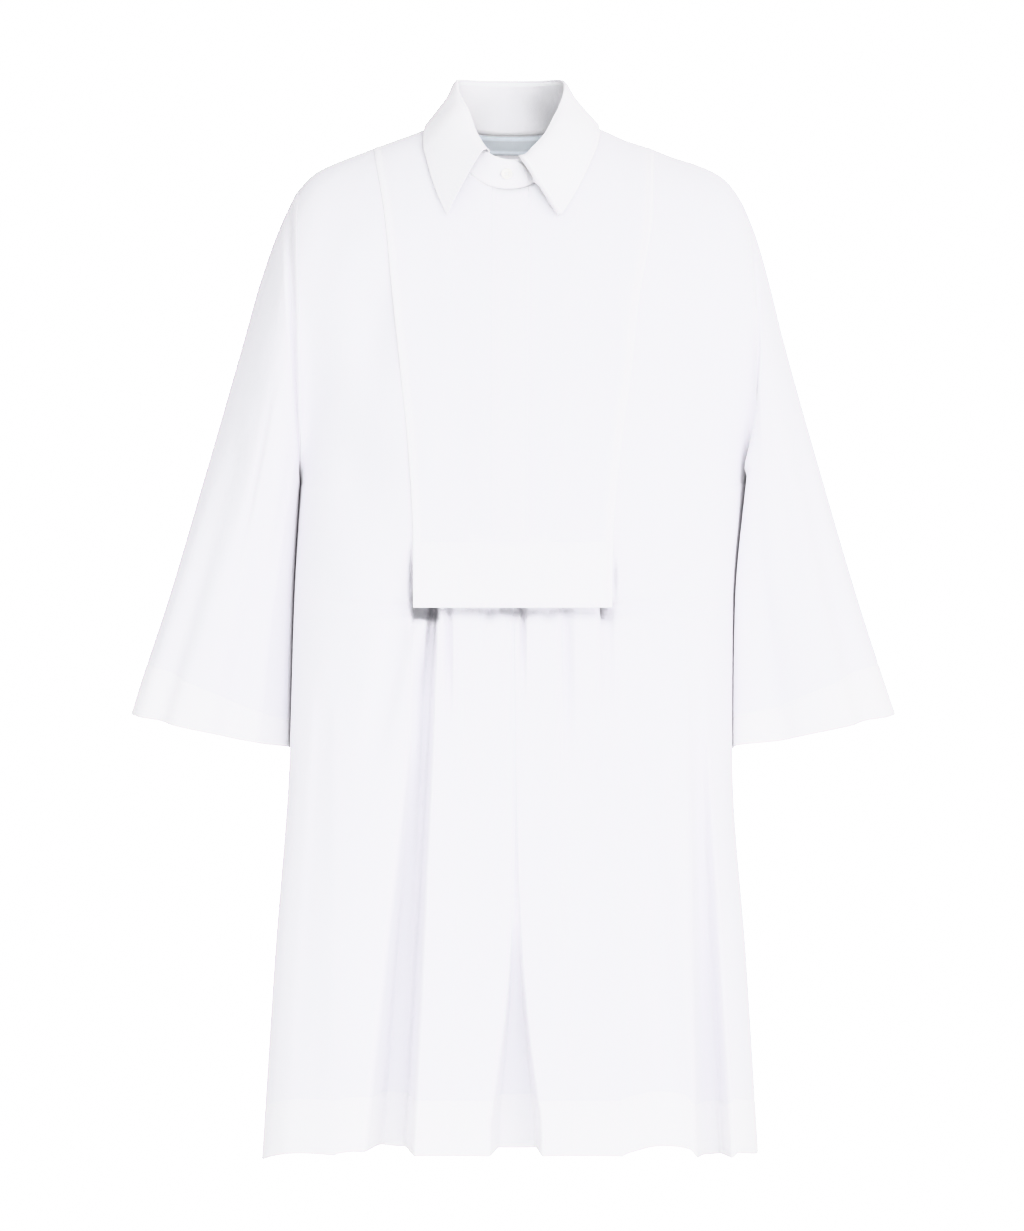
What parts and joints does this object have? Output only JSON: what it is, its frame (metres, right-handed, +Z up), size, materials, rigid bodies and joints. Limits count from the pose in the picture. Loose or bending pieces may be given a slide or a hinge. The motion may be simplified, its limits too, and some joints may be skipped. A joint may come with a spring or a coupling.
{
  "type": "shirt dress",
  "caption": "White cotton shirt dress with pointed collar, front bib over a gathered skirt, and wide three-quarter sleeves, filled out as worn.",
  "frame": {"origin": "middle of the neck opening, level with the shoulders beside the neck, where the wearer's shoulders carry the dress", "axes": "+Z up; the front faces -Y; the wearer's right side is at -X"},
  "size_m": [0.7632, 0.3336, 1.0768],
  "materials": {
    "cotton": "matte, closely woven",
    "button": "satin",
    "label": "matte, woven"
  },
  "bodies": {
    "root": {"front": "cotton", "bib": "cotton", "placket": "cotton", "back": "cotton", "sleeve_right": "cotton", "sleeve_left": "cotton", "collar_stand": "cotton", "collar_leaf": "cotton", "collar_button": "button", "neck_label": "label"}
  },
  "joints": []
}
